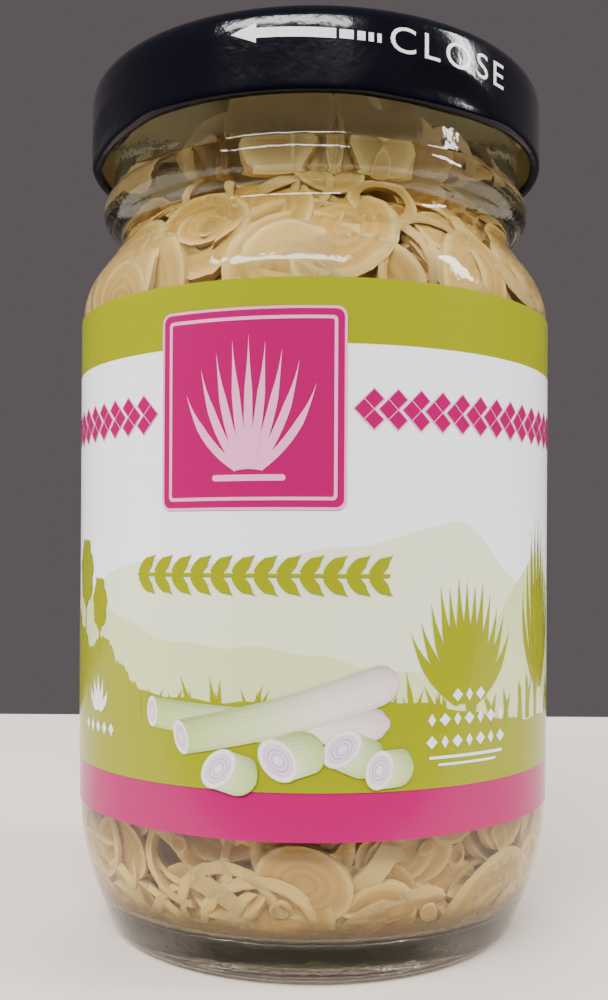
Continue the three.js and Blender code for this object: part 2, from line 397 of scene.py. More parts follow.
def note_layers(piece, radius):
    """Store how far each point lies from the slice's middle, for the stalk's layers."""
    layers = stored(piece, "layer")
    stored(piece, "tone_and_depth_shade")
    for v, value in zip(piece.data.vertices, layers.data):
        value.value = math.hypot(v.co.x, v.co.y) / (radius * MM)


def cut_stalk(name, sides, radius, length, both_ends):
    """A round length of stalk, left in edit mode with its upper end or both ends selected."""
    bpy.ops.object.select_all(action="DESELECT")
    bpy.ops.mesh.primitive_cylinder_add(
        vertices=sides, radius=radius * MM, depth=length * MM, location=(0, 0, 0))
    piece = started(name)
    bpy.ops.object.mode_set(mode="EDIT")
    bpy.ops.mesh.select_mode(type="FACE")
    bpy.ops.mesh.select_all(action="DESELECT")
    bpy.ops.object.mode_set(mode="OBJECT")
    for face in piece.data.polygons:
        face.select = face.normal.z > 0.9 or (both_ends and face.normal.z < -0.9)
    bpy.ops.object.mode_set(mode="EDIT")
    return piece


def cut_disc(name, radius, thickness, layers, sides=18):
    """A whole slice: a short cylinder with the stalk's layers standing a little out of its face."""
    piece = cut_stalk(name, sides, radius, thickness, False)
    width = radius * 0.86 / layers
    for i in range(layers):
        rise = 0.05 if i % 2 else -0.05
        bpy.ops.mesh.inset(thickness=width * 0.3 * MM, depth=rise * MM)
        bpy.ops.mesh.inset(thickness=width * 0.7 * MM, depth=0)
    bpy.ops.object.mode_set(mode="OBJECT")
    note_layers(piece, radius)
    return piece


def cut_ring(name, radius, wall, thickness, open_share=0.0, sides=20, curl=0.0):
    """A loose layer: a short tube, split and sprung open where open_share is over nought."""
    bpy.ops.object.select_all(action="DESELECT")
    bpy.ops.mesh.primitive_circle_add(vertices=sides, radius=radius * MM, location=(0, 0, 0))
    piece = started(name)
    bpy.ops.object.mode_set(mode="EDIT")
    bpy.ops.mesh.select_mode(type="VERT")
    bpy.ops.mesh.select_all(action="DESELECT")
    bpy.ops.object.mode_set(mode="OBJECT")
    for v in piece.data.vertices:
        turn = (math.atan2(v.co.y, v.co.x) / (2 * math.pi)) % 1.0
        v.select = turn < open_share
    bpy.ops.object.mode_set(mode="EDIT")
    if open_share > 0:
        bpy.ops.mesh.delete(type="VERT")
    bpy.ops.mesh.select_all(action="SELECT")
    bpy.ops.mesh.extrude_edges_move(TRANSFORM_OT_translate={"value": (0, 0, thickness * MM)})
    bpy.ops.object.mode_set(mode="OBJECT")
    for v in piece.data.vertices:
        turn = (math.atan2(v.co.y, v.co.x) / (2 * math.pi)) % 1.0
        draw_out(v, 1 + curl * (turn - 0.5))
        v.co.z -= thickness / 2 * MM
    leaf = piece.modifiers.new("leaf", "SOLIDIFY")
    leaf.thickness = wall * MM
    leaf.offset = -1
    bpy.ops.object.modifier_apply(modifier="leaf")
    note_layers(piece, radius)
    return piece


def cut_core(name, radius, length):
    """The stalk's hard heart, pushed out of a slice, with a dimple in each end."""
    piece = cut_stalk(name, 12, radius, length, True)
    bpy.ops.mesh.inset(thickness=radius * 0.3 * MM, depth=0.15 * MM, use_individual=True)
    bpy.ops.mesh.inset(thickness=radius * 0.25 * MM, depth=-0.5 * MM, use_individual=True)
    bpy.ops.object.mode_set(mode="OBJECT")
    note_layers(piece, radius)
    return piece


STRIPS = {"strip_a": (6.2, 0.9, 2.6, 0.55, 28, 0.3), "strip_b": (8.5, 0.8, 2.2, 0.72, 32, 0.15),
          "strip_c": (4.2, 0.8, 1.9, 0.42, 24, 0.6)}
shapes = {
    "disc": [cut_disc("disc_a", 5.6, 1.2, 3), cut_disc("disc_b", 4.8, 1.4, 2),
             cut_disc("disc_c", 6.4, 1.1, 3), cut_disc("disc_d", 5.2, 0.9, 4)],
    "ring": [cut_ring("ring_a", 5.2, 1.1, 1.4), cut_ring("ring_b", 4.2, 1.4, 1.5),
             cut_ring("ring_c", 6.2, 0.9, 1.3)],
    "strip": [cut_ring(name, *sizes) for name, sizes in STRIPS.items()],
    "core": [cut_core("core_a", 1.5, 4.5), cut_core("core_b", 1.1, 6.5)],
}
KINDS = ["disc"] * 13 + ["ring"] * 3 + ["strip"] * 7 + ["core"] * 2
GLASS_GAP = 0.12
LOWEST_SLICE = 5.5 + GLASS_GAP
WAIST_GAP = 0.5
WAIST = (85.5, 93)
HIGHEST_SLICE = 104.0
chance = random.Random(5)


def between(low, high):
    return low + (high - low) * chance.random()


def added(name, data):
    """Put a new object into the scene for a mesh, a curve, a light or a camera."""
    made = bpy.data.objects.new(name, data)
    bpy.context.collection.objects.link(made)
    return made


def lay_slice(kind, azimuth, height, depth, lean, slices):
    """Copy one shape, turn it flat to the glass or on edge, and press it inside the wall."""
    master = chance.choice(shapes[kind])
    mesh = master.data.copy()
    size = between(0.8, 1.25)
    oval = between(0.7, 1.0)
    out = wall_radius(height) - depth
    along_glass = kind == "strip" and chance.random() < 0.75
    if along_glass:
        radius, open_share = STRIPS[master.name][0], STRIPS[master.name][3]
        lie = Matrix.Rotation(-(1 + open_share) * math.pi, 4, "Z")
        tip = Matrix.Rotation(math.radians(-wall_lean(height) + between(-lean, lean) / 2), 4, "Y")
        roll = Matrix.Rotation(between(0, math.pi), 4, "X")
        out -= radius * size - 0.4
        oval = 1.0
    else:
        lie = Matrix.Rotation(between(0, 2 * math.pi), 4, "Z")
        tip = Matrix.Rotation(
            math.radians(90 - wall_lean(height) + between(-lean, lean)), 4, "Y")
        roll = Matrix.Rotation(math.radians(between(-lean, lean)), 4, "X")
    place = Matrix.Translation((out * MM, 0, height * MM))
    turn = Matrix.Rotation(math.radians(azimuth), 4, "Z")
    mesh.transform(turn @ place @ roll @ tip @ lie @ Matrix.Diagonal((size, size * oval, 1, 1)))
    # Each slice gets a random tone plus painted shade: the deeper it lies behind the glass, the darker.
    tone_and_depth_shade = min(1.0, max(0.0, between(-0.1, 0.55) + depth / 9))
    for v, value in zip(mesh.vertices, mesh.attributes["tone_and_depth_shade"].data):
        value.value = tone_and_depth_shade
        v.co.z = min(max(v.co.z, LOWEST_SLICE * MM), HIGHEST_SLICE * MM)
        reach = math.hypot(v.co.x, v.co.y)
        at_waist = WAIST[0] < v.co.z / MM < WAIST[1]
        most = (wall_radius(v.co.z / MM) - (WAIST_GAP if at_waist else GLASS_GAP)) * MM
        if reach > most:
            draw_out(v, most / reach)
    slices.append(added(f"slice_{len(slices)}", mesh))


def lay_belt(low, high, counts, slices):
    """Fill the space behind a stretch of glass, deepest slices first."""
    for depth, lean, count in counts:
        for i in range(count):
            azimuth = i * 137.508 + between(-14, 14)
            lay_slice(chance.choice(KINDS), azimuth, between(low, high),
                      depth + between(-0.7, 0.7), lean, slices)


heel_slices, shoulder_slices, hidden_slices = [], [], []
lay_belt(6.5, 21, [(5.2, 50, 70), (3.4, 30, 90), (1.4, 14, 90)], heel_slices)
lay_belt(6.2, 8.4, [(4.2, 70, 44), (1.7, 45, 56)], heel_slices)
lay_belt(77, 91, [(5.4, 50, 70), (3.4, 30, 80), (1.4, 14, 80)], shoulder_slices)
lay_belt(91, 99.5, [(7.5, 60, 40), (5.0, 40, 34)], shoulder_slices)
for i in range(26):
    side = -90 if i % 3 else 90
    lay_slice(chance.choice(KINDS), side + between(-36, 36), between(91, 101.5),
              between(0.9, 3.6), 14, shoulder_slices)
for i in range(90):
    lay_slice(chance.choice(KINDS), 90 + between(-16, 16), 20 + 58 * (i + 0.5) / 90,
              between(1.2, 4), 25, hidden_slices)
for kind in shapes.values():
    for master in kind:
        bpy.data.objects.remove(master)


LAYER_STOPS = [
    (0.0, (0.38, 0.18, 0.035)), (0.14, (0.51, 0.31, 0.090)), (0.24, (0.38, 0.19, 0.040)),
    (0.38, (0.52, 0.33, 0.100)), (0.47, (0.38, 0.21, 0.048)), (0.60, (0.53, 0.34, 0.110)),
    (0.70, (0.42, 0.24, 0.060)), (0.86, (0.52, 0.34, 0.110)), (0.93, (0.70, 0.52, 0.24)),
    (1.0, (0.66, 0.48, 0.21)),
]


def from_attribute(nodes, name):
    """What a piece has stored for each of its points under a name."""
    made = nodes.new("ShaderNodeAttribute")
    made.attribute_name = name
    return made.outputs["Fac"]


def lemongrass_flesh(name):
    """Cream stalk with straw-coloured lines between its layers, a tone for each slice with painted depth
    shade.
    """
    made, nodes, shader = material(name)
    fibre = noise(nodes, spot_on(nodes), 420, 4)
    uneven = maths(nodes, "MULTIPLY_ADD", fibre, 0.16,
                   maths(nodes, "SUBTRACT", from_attribute(nodes, "layer"), 0.08))
    tint = ramp(nodes, from_attribute(nodes, "tone_and_depth_shade"), (
        (0.0, (0.55, 0.37, 0.135)), (0.5, (0.45, 0.25, 0.062)), (1.0, (0.34, 0.135, 0.025))))
    flesh = blended(nodes, 0.42, ramp(nodes, uneven, LAYER_STOPS), tint)
    # Painted light: slices near the top are mixed towards pale cream, lifting the shade the lid casts on
    # them.
    painted_light_under_lid = ranged(nodes, one_axis(nodes, "Z"), 94 * MM, 101 * MM, 0.0, 0.75)
    feed(shader.inputs["Base Color"], blended(nodes, painted_light_under_lid, flesh, (0.86, 0.76, 0.55, 1)))
    set_inputs(shader, Roughness=0.45, Specular_IOR_Level=0.15, Subsurface_Weight=0.3,
          Subsurface_Radius=(1.0, 0.7, 0.35), Subsurface_Scale=0.0008)
    feed(shader.inputs["Normal"], bumped(nodes, fibre, 0.5, 0.0002))
    return made


flesh = lemongrass_flesh("sliced lemongrass")
for name, slices in (("slices_at_heel", heel_slices), ("slices_at_shoulder", shoulder_slices),
                     ("slices_at_back", hidden_slices)):
    pick(*slices)
    bpy.ops.object.join()
    loose = bpy.context.object
    loose.name = name
    smooth(loose, 40)
    finish_with(loose, flesh, "jar")
    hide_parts("lemongrass_slices")

# Behind the slices that press on the glass lies the rest of the pack, which shows only as warm
# straw-coloured shade between them.
CORE_DEPTH = 4.4
core_outline = (
    [(0, 99.5), (11, 99.2)]
    + sweep((11, 99.2), (15, 98.5), (15.5, 94), 5)
    + sweep((15.5, 94), (17, 89), (BODY_RADIUS - GLASS_WALL - CORE_DEPTH, 80), 6)
    + level(BODY_RADIUS - GLASS_WALL - CORE_DEPTH, 80, 14, 2)
    + sweep((BODY_RADIUS - GLASS_WALL - CORE_DEPTH, 14), (26.4, 9), (25.0, 6.8), 5)
    + [(23.5, 5.9), (20, 5.6), (10, 5.7), (0, 5.9)]
)
packed = turned("packed_middle", core_outline, 72)
lumps = bpy.data.textures.new("lumps", "CLOUDS")
lumps.noise_scale = 0.006
heap = packed.modifiers.new("heap", "DISPLACE")
heap.texture = lumps
heap.strength = 1.8 * MM
heap.mid_level = 1.0
pick(packed)
bpy.ops.object.modifier_apply(modifier="heap")
smooth(packed, 50)
deep, nodes, shader = material("packed lemongrass in shade")
patches = nodes.new("ShaderNodeTexVoronoi")
set_inputs(patches, Scale=190)
feed(patches.inputs["Vector"], spot_on(nodes))
shade = ramp(nodes, patches.outputs["Distance"], ((0.0, (0.50, 0.29, 0.095)), (1.0, (0.32, 0.15, 0.035))))
feed(shader.inputs["Base Color"], shade)
set_inputs(shader, Roughness=0.7)
finish_with(packed, deep, "jar")
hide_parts("lemongrass_slices")

# The finest bits of the stalk have sunk in the brine and lie as a soft cloudy bed on the glass at
# the foot of the pack, thinning out upwards between the slices.
BED_TOP = 8.7
bed = turned("settled_bits", (
    [(18, 6.2), (18, 5.0)]
    + sweep((21, 4.88), (25.5, 4.7), (27.1, 7.42), 9)
    + [(27.32, 7.95), (27.5, 8.35), (27.64, BED_TOP), (27.3, BED_TOP)]
    + sweep((27.3, BED_TOP), (26.4, 6.4), (24, 6.2), 5)
))
smooth(bed, 50)
silt, nodes, shader = material("bits settled in the brine")
crumbs = noise(nodes, spot_on(nodes), 330, 3)
drift = maths(nodes, "MULTIPLY_ADD", crumbs, 3.0 * MM, one_axis(nodes, "Z"))
feed(shader.inputs["Base Color"], ramp(nodes, crumbs, (
    (0.35, (0.33, 0.20, 0.062)), (0.65, (0.50, 0.345, 0.135)))))
feed(shader.inputs["Alpha"], ranged(nodes, drift, 7.6 * MM, 9.9 * MM, 0.94, 0.0))
set_inputs(shader, Roughness=0.7, Specular_IOR_Level=0.1)
finish_with(bed, silt, "jar")
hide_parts("lemongrass_slices")


# The label is one glossy printed film, rolled round the straight of the body, with a narrow gap
# where its ends nearly meet at the back.

LABEL_RADIUS = 31.48
FILM = 0.1
SEAM_GAP = 4.0
LIME = (0.255, 0.275, 0.0)
MAGENTA = (0.36, 0.0, 0.10)
WHITE = (0.90, 0.90, 0.92)
PALE_PINK = (0.85, 0.33, 0.55)
LIME_FROM = 72.4
MAGENTA_TO = 23.05

around = 2 * math.pi * LABEL_RADIUS - SEAM_GAP
bpy.ops.object.select_all(action="DESELECT")
bpy.ops.mesh.primitive_grid_add(x_subdivisions=160, y_subdivisions=30, size=1, location=(0, 0, 0))
label = started("printed_film")
label.dimensions = (around * MM, (LABEL_TOP - LABEL_BOTTOM) * MM, 0)
bpy.ops.object.transform_apply(location=False, rotation=False, scale=True)


def ends_across(piece):
    """How far a flat piece reaches to the left and to the right, in metres."""
    across = [v.co.x for v in piece.data.vertices]
    return min(across), max(across)


def wrap_round(piece, radius, lift):
    """Stand a flat piece up and roll it round the jar's axis, its middle at the front."""
    pick(piece)
    bpy.ops.transform.rotate(
        value=-math.pi / 2, orient_axis="X", center_override=(0, 0, 0))
    bpy.ops.object.transform_apply(location=True, rotation=True, scale=True)
    low, high = ends_across(piece)
    roll = piece.modifiers.new("roll", "SIMPLE_DEFORM")
    roll.deform_method = "BEND"
    roll.deform_axis = "Z"
    roll.angle = (high - low) / (radius * MM)
    bpy.ops.object.modifier_apply(modifier="roll")
    bpy.ops.transform.translate(value=(0, -radius * MM, 0))
    bpy.ops.object.transform_apply(location=True, rotation=True, scale=True)
    for v in piece.data.vertices:
        draw_out(v, 1 + lift * MM / math.hypot(v.co.x, v.co.y))


bpy.ops.transform.translate(value=(0, (LABEL_TOP + LABEL_BOTTOM) / 2 * MM, 0))
wrap_round(label, LABEL_RADIUS, 0)
film = label.modifiers.new("film", "SOLIDIFY")
film.thickness = FILM * MM
film.offset = 1
bpy.ops.object.modifier_apply(modifier="film")
smooth(label, 40)


def film_gloss():
    """Printed film: a hard gloss with the faint unevenness of film laid on glass by machine."""
    group = bpy.data.node_groups.new("film gloss", "ShaderNodeTree")
    group.interface.new_socket("Normal", in_out="OUTPUT", socket_type="NodeSocketVector")
    group.interface.new_socket("Roughness", in_out="OUTPUT", socket_type="NodeSocketFloat")
    nodes = group.nodes
    out = nodes.new("NodeGroupOutput")
    spot = spot_on(nodes)
    feed(out.inputs["Normal"], bumped(nodes, noise(nodes, spot, 90), 0.25, 0.0003))
    feed(out.inputs["Roughness"], ranged(nodes, noise(nodes, spot, 260), 0.0, 1.0, 0.12, 0.24))
    return group


gloss_group = film_gloss()


def ink(name, colour, second=None, attribute=None, stops=None):
    """A printed colour under the film's gloss, plain or running along an attribute of the piece."""
    made, nodes, shader = material(name)
    gloss = nodes.new("ShaderNodeGroup")
    gloss.node_tree = gloss_group
    feed(shader.inputs["Normal"], gloss.outputs["Normal"])
    feed(shader.inputs["Roughness"], gloss.outputs["Roughness"])
    set_inputs(shader, Specular_IOR_Level=0.28)
    second = second or tuple(c * 0.93 for c in colour)
    shade = blended(nodes, noise(nodes, spot_on(nodes), 30), (*colour, 1), (*second, 1))
    if attribute:
        along = ramp(nodes, from_attribute(nodes, attribute), stops)
        shade = blended(nodes, 1.0, along, shade, "MULTIPLY")
    feed(shader.inputs["Base Color"], shade)
    return made, nodes, shader


film_ink, nodes, shader = ink("printed film", WHITE)
tall = LABEL_TOP - LABEL_BOTTOM
bands = ramp(nodes, ranged(nodes, one_axis(nodes, "Z"), LABEL_BOTTOM * MM, LABEL_TOP * MM), (
    (0.0, MAGENTA), ((MAGENTA_TO - LABEL_BOTTOM) / tall, WHITE),
    ((LIME_FROM - LABEL_BOTTOM) / tall, LIME)))
bands.node.color_ramp.interpolation = "CONSTANT"
feed(shader.inputs["Base Color"], bands)
finish_with(label, film_ink, "jar")
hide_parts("label")


# The print on the label: each ink is a flat drawing in millimetres, across and up, that is filled,
# cut into upright strips and rolled round the film.

PRINT_STEP = 1.3
PRINT_LIFT = 0.02


def drawn(name, loops):
    """A flat piece filled from closed outlines of (across, up) points."""
    drawing = bpy.data.curves.new(name, "CURVE")
    drawing.dimensions = "2D"
    drawing.fill_mode = "BOTH"
    for loop in loops:
        line = drawing.splines.new("POLY")
        line.points.add(len(loop) - 1)
        for point, (x, y) in zip(line.points, loop):
            point.co = (x * MM, y * MM, 0, 1)
        line.use_cyclic_u = True
    piece = added(name, drawing)
    pick(piece)
    bpy.ops.object.convert(target="MESH")
    return piece


def printed(name, loops, made, layer=1):
    """Draw closed outlines in one ink and lay them on the film."""
    piece = drawn(name, loops)
    lay_print(piece, made, layer)
    return piece


def lay_print(piece, made, layer, radius=LABEL_RADIUS + FILM, step=PRINT_STEP):
    """Cut a flat piece into strips narrow enough to bend, and roll it on."""
    pick(piece)
    low, high = ends_across(piece)
    bpy.ops.object.mode_set(mode="EDIT")
    cuts = max(1, math.ceil((high - low) / MM / step))
    for i in range(1, cuts):
        bpy.ops.mesh.select_all(action="SELECT")
        bpy.ops.mesh.bisect(plane_co=(low + (high - low) * i / cuts, 0, 0), plane_no=(1, 0, 0))
    bpy.ops.object.mode_set(mode="OBJECT")
    wrap_round(piece, radius, layer * PRINT_LIFT)
    smooth(piece, 60)
    finish_with(piece, made, "jar")


def rounded_box(left, bottom, right, top, corner, steps=6):
    """A rectangle with round corners, as one closed outline."""
    loop = []
    for x, y, start in ((right - corner, top - corner, 0), (left + corner, top - corner, 90),
                        (left + corner, bottom + corner, 180), (right - corner, bottom + corner, 270)):
        loop += arc((x, y), corner, start, start + 90, steps)
    return loop


def blade(base, tip, width, bow, steps=10):
    """A grass blade: a bowed line that swells from its base and runs out to a point."""
    dx, dy = tip[0] - base[0], tip[1] - base[1]
    length = math.hypot(dx, dy)
    side = (-dy / length, dx / length)
    middle = ((base[0] + tip[0]) / 2 + side[0] * bow, (base[1] + tip[1]) / 2 + side[1] * bow)
    line = sweep(base, middle, tip, steps)
    left, right = [], []
    for i, (x, y) in enumerate(line):
        share = i / steps
        half = width / 2 * (0.35 + 0.65 * math.sin(math.pi * min(1, 0.25 + share * 0.75)))
        half *= 1 if share < 0.6 else (1 - share) / 0.4
        left.append((x + side[0] * half, y + side[1] * half))
        right.append((x - side[0] * half, y - side[1] * half))
    return left + right[::-1][1:]


magenta_ink = ink("magenta ink", MAGENTA)[0]
lime_ink = ink("lime ink", LIME)[0]
pink_ink = ink("pale pink ink", PALE_PINK)[0]
white_ink = ink("white ink", (0.82, 0.84, 0.84))[0]
hill_ink = ink("pale hill ink", (0.56, 0.63, 0.29), (0.64, 0.71, 0.38))[0]
far_hill_ink = ink("far hill ink", (0.68, 0.74, 0.47), (0.76, 0.80, 0.60))[0]

HILL_STEPS = 120


def skyline(low, swells, peak=(0.0, 0.0, 1.0)):
    """A closed outline of hills right round the label, over a flat foot, with one higher summit."""
    half = around / 2 - 0.02
    top = []
    for i in range(HILL_STEPS + 1):
        x = half - 2 * half * i / HILL_STEPS
        rise = sum(a * math.sin(x / b + c) for a, b, c in swells)
        summit = peak[1] * math.exp(-abs((x - peak[0]) / peak[2]) ** 1.6)
        top.append((x, low + rise + summit))
    return [(-half, MAGENTA_TO)] + [(half, MAGENTA_TO)] + top


def treeline(left, right, foot, crowns):
    """The outline of bushes that stand together: round crowns with a leafy, uneven edge."""
    steps = round((right - left) / 0.22)
    top = []
    for i in range(steps + 1):
        x = right - (right - left) * i / steps
        rises = [up + math.sqrt(r * r - (x - c) ** 2) for c, up, r in crowns if abs(x - c) < r]
        top.append((x, foot + max([0.0] + rises) + 0.16 * math.sin(9.1 * x) + 0.1 * math.sin(23 * x)))
    return [(left, foot - 4), (right, foot - 4)] + top


def crown(x, y, wide, tall, steps=40):
    """A tree's crown with a leafy edge, as one closed outline."""
    loop = []
    for i in range(steps):
        t = 2 * math.pi * i / steps
        leafy = 1 + 0.07 * math.sin(7 * t) + 0.05 * math.sin(13 * t + 1)
        loop.append((x + wide * leafy * math.cos(t), y + tall * leafy * math.sin(t)))
    return loop


def grass_clump(name, foot, count, spread, tall, width, made, layer):
    """A clump of arching blades that fan out from one foot, in three layers so that they cross."""
    fan = []
    for i in range(count):
        side = 2 * i / (count - 1) - 1
        reach = tall * (1 - 0.38 * side * side) * (0.92 + 0.16 * chance.random())
        fan.append(blade((foot[0] + side * spread * 0.16, foot[1]),
                         (foot[0] + side * spread, foot[1] + reach), width, -side * tall * 0.13))
    for k in range(3):
        printed(f"{name}_{k}", fan[k::3], made, layer + k * 0.5)


printed("far_hills", [skyline(46, ((3.2, 13.0, 2.2), (1.0, 4.7, 0.5), (0.2, 1.6, 1.0)),
                              (18.0, 9.5, 9.0))], far_hill_ink, 1)
printed("near_hills", [skyline(40, ((3.4, 16.0, 4.1), (1.0, 5.1, 2.0), (0.25, 1.3, 0.0)),
                               (33.0, 9.0, 10.0))], hill_ink, 2)
printed("ground", [skyline(31.6, ((1.9, 17.0, 2.2), (0.7, 6.3, 0.0), (0.2, 1.1, 2.0)))], lime_ink, 3)

tufts = [[], [], []]
for i in range(58):
    x = -88 + 176 * (i + chance.random() * 0.8) / 58
    for k in range(3):
        lean = between(-1.7, 1.7)
        tall = between(4.0, 7.0) * (0.6 + 0.4 * math.sin(x / 7.0) ** 2)
        tufts[k].append(
            blade((x + between(-0.4, 0.4), 29.5), (x + lean, 29.5 + tall), 0.7, lean * 0.3))
for k, tuft in enumerate(tufts):
    printed(f"grass_{k}", tuft, lime_ink, 3.5 + k * 0.5)

for n, across in enumerate((18.6, 62.0, -58.0)):
    grass_clump(f"clump_{n}", (across, 32.4), 13, 7.6, 14.0, 1.25, lime_ink, 4)
for n, across in enumerate((34.5, 78.0, -76.0)):
    grass_clump(f"tall_clump_{n}", (across, 33.0), 9, 5.0, 21.0, 1.1, lime_ink, 4)
printed("bushes", [treeline(-53.5, -21.5, 33.0, (
    (-51, -0.6, 2.2), (-48.4, 1.8, 2.6), (-45, 4.0, 3.2), (-41.5, 6.2, 3.0), (-37.6, 3.6, 3.4),
    (-33.2, 1.8, 3.0), (-29.8, 3.0, 3.2), (-26.2, 0.8, 2.6), (-23.6, -0.6, 2.0)))], lime_ink, 4)
printed("tree_trunks", [
    [(-36.3, 33), (-35.7, 33), (-35.9, 44), (-36.1, 44)],
    [(-31.0, 33), (-30.4, 33), (-30.6, 41), (-30.8, 41)]], lime_ink, 4.5)
printed("tree_crowns", [crown(-36.0, 47.0, 3.0, 4.2), crown(-30.7, 43.2, 2.0, 3.2)], lime_ink, 5)



def diamond(x, y, half_width, half_height):
    """An outline with a point at each side, above and below."""
    return [(x - half_width, y), (x, y - half_height), (x + half_width, y), (x, y + half_height)]


ROW = 65.3
PITCH = 2.79
HALF = 1.08
EDGE = 0.17
lozenges, edges = [], [[], []]
start, stop = 4.4, around / 2 - 2
count = int((stop - start) / PITCH)
for i in range(count):
    for mirror in (1, -1):
        if mirror < 0 and start + 14.7 + i * PITCH > stop - 3:
            continue
        foot = (start + i * PITCH) if mirror > 0 else (start + 14.7 + i * PITCH)
        beside = HALF + 0.07
        for n, (across, up) in enumerate(((0, 0), (beside, beside), (beside, -beside))):
            x, y = mirror * (foot + HALF + across), ROW + up
            lozenges.append(diamond(x, y, HALF, HALF))
            edges[n > 0].append(diamond(x, y, HALF + EDGE, HALF + EDGE))
for n, rims in enumerate(edges):
    printed(f"lozenge_rim_{n}", rims, pink_ink, 3 + n * 0.5)
printed("lozenge_row", lozenges, magenta_ink, 4)



def grown(box, by):
    """A box of (left, bottom, right, top), larger or smaller by the same at every side."""
    return (box[0] - by, box[1] - by, box[2] + by, box[3] + by)


PANEL = (-18.0, 54.4, 3.3, 76.2)
printed("panel_rim", [rounded_box(*grown(PANEL, 0.3), 1.1)], pink_ink, 4.5)
printed("panel", [rounded_box(*PANEL, 0.9)], magenta_ink, 5)
printed("panel_line", [rounded_box(*grown(PANEL, -0.75), 0.5), rounded_box(*grown(PANEL, -1.13), 0.3)],
        pink_ink, 6)
panel_foot = ((PANEL[0] + PANEL[2]) / 2, PANEL[1] + 4.2)
grass_clump("panel_clump", panel_foot, 9, 7.6, 14.2, 1.0, pink_ink, 6)
printed("panel_ground", [
    rounded_box(panel_foot[0] - 4.2, panel_foot[1] - 1.3, panel_foot[0] + 4.2, panel_foot[1] - 0.6, 0.3)],
    pink_ink, 6)

# A garland of leaves runs across the middle of the front, and small white ornaments stand on the
# ground at both sides.
GARLAND = 46.9
printed("garland_stem", [rounded_box(-22.2, GARLAND - 0.2, 8.6, GARLAND + 0.2, 0.18)], lime_ink, 5)
leaves = [[], []]
for k in range(12):
    foot = (-21.6 + 2.56 * k, GARLAND)
    for side, up in enumerate((1, -1)):
        leaves[side].append(blade(foot, (foot[0] + 2.4, GARLAND + up * 2.3), 1.45, up * 0.3))
for k, spray in enumerate(leaves):
    printed(f"garland_leaves_{k}", spray, lime_ink, 5 + k * 0.5)

white_marks = []
for row, (y, marks) in enumerate(((33.4, 3), (30.7, 7), (28.2, 7))):
    for i in range(marks):
        x = 19.0 + (i - (marks - 1) / 2) * 1.75
        white_marks.append(diamond(x, y, 0.5 if (i + row) % 2 else 0.75, 0.75))
white_marks.append(rounded_box(13.4, 26.3, 24.6, 26.65, 0.15))
white_marks.append(rounded_box(14.6, 25.5, 23.4, 25.8, 0.14))
for i in range(5):
    white_marks.append(diamond(-30.8 + (i - 2) * 1.7, 28.2, 0.6, 0.8))
printed("white_ornaments", white_marks, white_ink, 6)
grass_clump("white_sprout", (-30.8, 30.2), 5, 2.6, 4.6, 0.9, white_ink, 6)


# The picture on the label: two cut stalks of lemongrass lying crossed with their pale ends to the
# right, and slanting sections in front of them that show the stalk's lilac rings.

STEM_STOPS = [(0.0, (0.74, 0.58, 0.60)), (0.1, (0.82, 0.70, 0.69)), (0.35, (0.84, 0.78, 0.68)),
              (0.62, (0.66, 0.76, 0.40)), (1.0, (0.47, 0.61, 0.20))]
SECTION_STOPS = [(0.0, (0.44, 0.60, 0.18)), (0.55, (0.62, 0.74, 0.36)), (1.0, (0.80, 0.82, 0.66))]
RING_STOPS = [(0.0, (0.86, 0.76, 0.78)), (0.22, (0.80, 0.68, 0.74)), (0.30, (0.52, 0.34, 0.56)),
              (0.40, (0.82, 0.70, 0.78)), (0.50, (0.50, 0.33, 0.54)), (0.60, (0.80, 0.69, 0.77)),
              (0.68, (0.62, 0.46, 0.62)), (0.80, (0.86, 0.80, 0.80)), (0.90, (0.84, 0.84, 0.70)),
              (1.0, (0.55, 0.66, 0.30))]


def stem_ink(name, stops):
    """Pale green running to white along the stem, shaded round its sides, with fine upright veins."""
    made, nodes, shader = ink(name, (0.97, 0.97, 0.97), None, "along", stops)
    across = from_attribute(nodes, "across")
    round_off = ramp(nodes, across, (
        (0.0, (0.56, 0.58, 0.48)), (0.2, (0.84, 0.84, 0.84)), (0.55, (1, 1, 1)),
        (0.85, (1, 1, 1)), (1.0, (0.80, 0.80, 0.74))))
    veins = maths(nodes, "SINE", maths(nodes, "MULTIPLY", across, 60))
    faint = ranged(nodes, veins, -1.0, 1.0, 0.90)
    plain = shader.inputs["Base Color"].links[0].from_socket
    shaded = blended(nodes, 1.0, plain, round_off, "MULTIPLY")
    feed(shader.inputs["Base Color"], blended(nodes, 1.0, shaded, faint, "MULTIPLY"))
    return made


def pictured_stem(name, start, end, width, made, layer, round_start=0.1, narrow=0.12, bow=0.5, slant=0.0):
    """A stem seen from the side: rounded at its start, cut at a slant at its narrower end."""
    bpy.ops.object.select_all(action="DESELECT")
    bpy.ops.mesh.primitive_grid_add(x_subdivisions=30, y_subdivisions=10, size=1, location=(0, 0, 0))
    piece = started(name)
    stored(piece, "along")
    stored(piece, "across")
    along, across = piece.data.attributes["along"], piece.data.attributes["across"]
    dx, dy = end[0] - start[0], end[1] - start[1]
    length = math.hypot(dx, dy)
    for v, a, c in zip(piece.data.vertices, along.data, across.data):
        s, t = v.co.x + 0.5, v.co.y
        a.value, c.value = s, t + 0.5
        near = min(1.0, s / round_start)
        swell = math.sqrt(max(0.03, 1 - (1 - near) ** 2))
        v.co.x = s * (length + t * width * math.tan(slant)) * MM
        v.co.y = (t * width * swell * (1 - narrow * s) + bow * math.sin(s * math.pi)) * MM
    piece.data.transform(
        Matrix.Translation((start[0] * MM, start[1] * MM, 0))
        @ Matrix.Rotation(math.atan2(dy, dx), 4, "Z"))
    lay_print(piece, made, layer, step=0.9)


